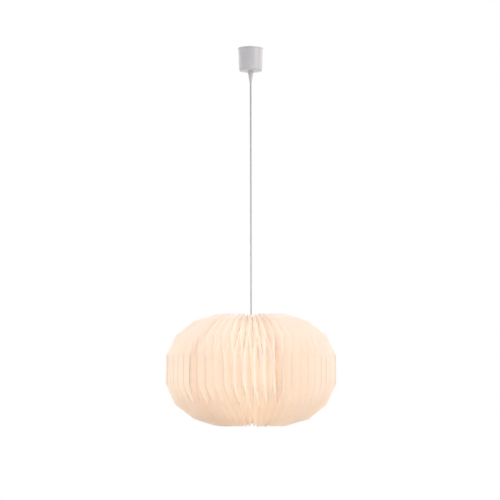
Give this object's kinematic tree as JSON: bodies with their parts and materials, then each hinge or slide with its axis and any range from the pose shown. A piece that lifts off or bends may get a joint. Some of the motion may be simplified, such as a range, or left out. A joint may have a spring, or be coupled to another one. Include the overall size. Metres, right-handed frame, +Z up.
{
  "type": "pleated paper pendant lamp",
  "caption": "Ceiling pendant lamp with a round folded paper shade on a straight flex, with a small ceiling cup and cord grip.",
  "frame": {"origin": "on the ceiling plane at the middle of the ceiling plate, over the lamp's axis", "axes": "+Z up, out of the plate into the ceiling; +X along the line of the plate's two screws; +Y to the back; the lamp hangs towards -Z"},
  "size_m": [0.4503, 0.4505, 1.0108],
  "materials": {
    "hook_steel": "bright zinc-plated steel wire",
    "nylon": "natural white nylon",
    "zinc_screws": "zinc-plated",
    "brass": "bare brass",
    "live_core": "brown core insulation",
    "neutral_core": "blue core insulation",
    "cord_sheath": "pale grey-white flex sheath",
    "holder_plastic": "white moulded thermoset",
    "insulator": "white porcelain",
    "cup_plastic": "satin white-grey moulded plastic",
    "grip_plastic": "satin white-grey moulded plastic",
    "card": "off-white card",
    "shade_paper": "translucent off-white folded paper",
    "bulb_diffuser": "opal diffuser",
    "bulb_plastic": "white housing",
    "led_board": "aluminium board",
    "bulb_base": "nickel-plated brass",
    "black_insulator": "black"
  },
  "bodies": {
    "ceiling": {"ceiling_hook": "hook_steel"},
    "link": {"link_ring": "hook_steel"},
    "lamp": {"anchor_bail": "hook_steel", "anchor_body": "nylon", "cord_clamp": "nylon", "clamp_screws": "zinc_screws", "terminal_block": "nylon", "terminal_barrels": "brass", "terminal_screws": "zinc_screws", "live_conductor": "live_core", "neutral_conductor": "neutral_core", "cord": "cord_sheath", "cord_nipple": "holder_plastic", "nipple_screw": "nylon", "holder_cap": "holder_plastic", "holder_shell": "holder_plastic", "holder_insert": "insulator", "holder_terminals": "brass", "socket_thread": "brass", "centre_contact": "brass"},
    "cup": {"ceiling_cup": "cup_plastic", "grip_sleeve": "cup_plastic", "grip_nut": "nylon"},
    "grip": {"grip_cone": "grip_plastic"},
    "ring": {"shade_ring": "holder_plastic"},
    "shade": {"carrier_plate": "card", "top_collar": "card", "bottom_collar": "card", "pleated_sheet_1": "shade_paper", "pleated_sheet_2": "shade_paper", "pleated_sheet_3": "shade_paper", "pleated_sheet_4": "shade_paper", "pleated_sheet_5": "shade_paper", "seam_laps": "shade_paper"},
    "bulb": {"bulb_globe": "bulb_diffuser", "bulb_housing": "bulb_plastic", "led_plate": "led_board", "bulb_screw_shell": "bulb_base", "bulb_insulator": "black_insulator", "bulb_tip": "bulb_base"}
  },
  "joints": [
    {"name": "hook_swing", "type": "hinge", "parent": "ceiling", "child": "link", "pos_m": [0, 0, -0.022], "axis": [1, 0, 0], "range_deg": [-5, 5]},
    {"name": "link_swing", "type": "hinge", "parent": "link", "child": "lamp", "pos_m": [0, 0, -0.02895], "axis": [0, 1, 0], "range_deg": [-5, 5]},
    {"name": "cup_slide", "type": "slide", "parent": "lamp", "child": "cup", "axis": [0, 0, -1], "range_m": [0, 0.12]},
    {"name": "grip_turn", "type": "hinge", "parent": "cup", "child": "grip", "pos_m": [0, 0, -0.081], "axis": [0, 0, 1], "continuous": true},
    {"name": "shade_ring_slide", "type": "slide", "parent": "lamp", "child": "ring", "axis": [0, 0, -1], "range_m": [0, 0.012]},
    {"name": "shade_turn", "type": "hinge", "parent": "ring", "child": "shade", "pos_m": [0, 0, -0.863], "axis": [0, 0, 1], "continuous": true},
    {"name": "bulb_slide", "type": "slide", "parent": "lamp", "child": "bulb", "axis": [0, 0, -1], "range_m": [0, 0.028]}
  ]
}
